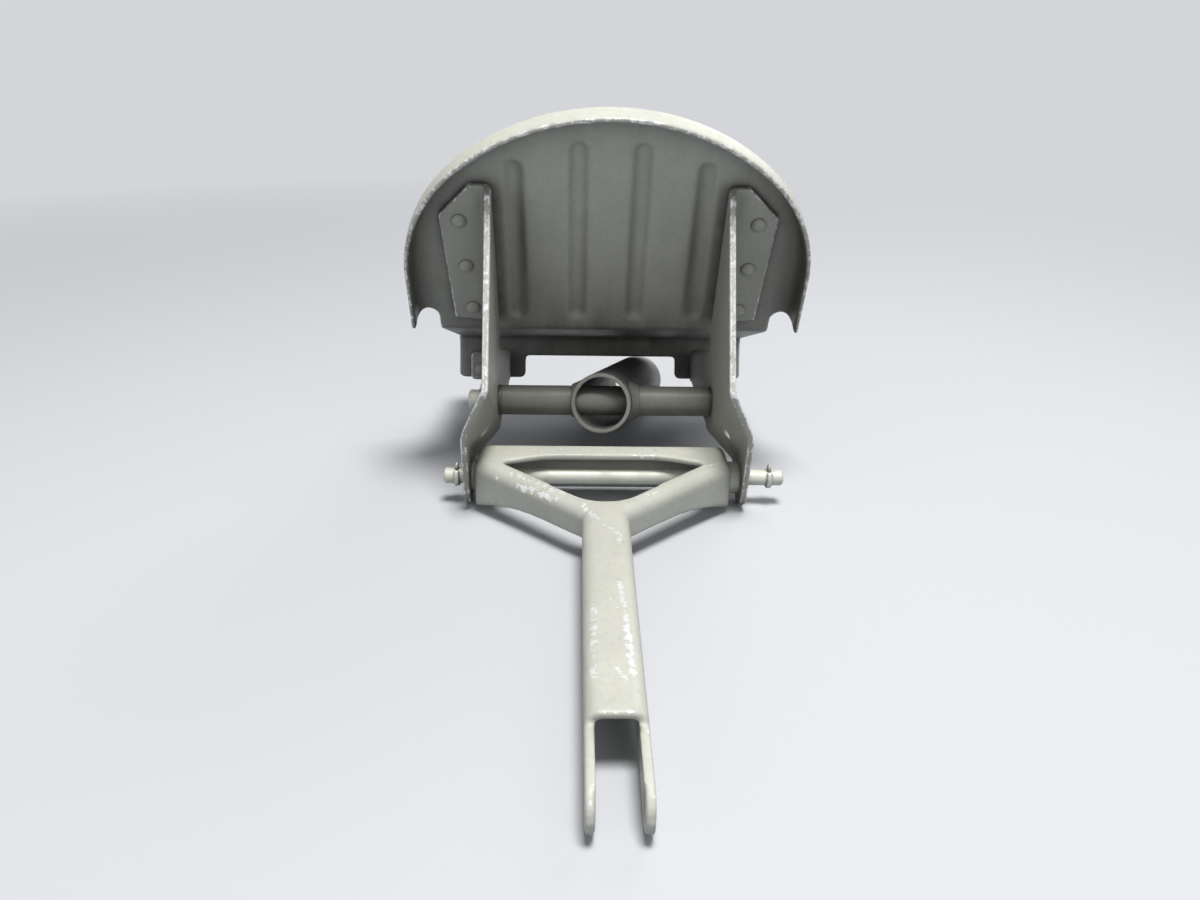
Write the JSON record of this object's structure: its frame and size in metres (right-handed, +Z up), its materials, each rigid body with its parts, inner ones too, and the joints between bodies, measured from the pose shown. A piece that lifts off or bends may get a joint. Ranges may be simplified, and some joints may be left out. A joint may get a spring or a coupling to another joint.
{
  "type": "aircraft rudder pedal",
  "caption": "Rudder and toe-brake pedal: half-moon pressed foot plate on riveted side brackets, hinged on a tube arm, with a Y-shaped push yoke on a clevis pin.",
  "frame": {"origin": "on the surface it lies on, under the middle of its bounding box", "axes": "+X across the pedal to the right seen from the fork, +Y from the fork back to the arm's end, +Z up"},
  "size_m": [0.1236, 0.242, 0.118],
  "materials": {
    "paint": "worn satin khaki-grey paint, chipped to bare metal at edges",
    "steel": "dull plated steel",
    "bronze": "plain bronze bearing"
  },
  "bodies": {
    "arm": {"arm_tube": "paint", "cross_tube": "paint", "left_pivot_bush": "bronze", "right_pivot_bush": "bronze"},
    "pedal": {"pedal_plate": "paint", "left_bracket": "paint", "right_bracket": "paint", "left_plate_rivets": "paint", "right_plate_rivets": "paint", "left_tab_rivets": "paint", "right_tab_rivets": "paint", "pivot_pin": "steel", "left_pivot_washer": "steel", "right_pivot_washer": "steel", "pivot_cotter": "steel", "link_pin": "steel", "left_link_cotter": "steel", "right_link_cotter": "steel"},
    "yoke": {"yoke": "paint", "left_yoke_spacer": "steel", "right_yoke_spacer": "steel"}
  },
  "joints": [
    {"name": "pedal_hinge", "type": "hinge", "parent": "arm", "child": "pedal", "pos_m": [0, 0.04466, 0.0266], "axis": [1, 0, 0], "range_deg": [0, 70]},
    {"name": "yoke_hinge", "type": "hinge", "parent": "pedal", "child": "yoke", "pos_m": [0, 0.02466, 0.0087], "axis": [1, 0, 0], "range_deg": [-60, 45]}
  ]
}
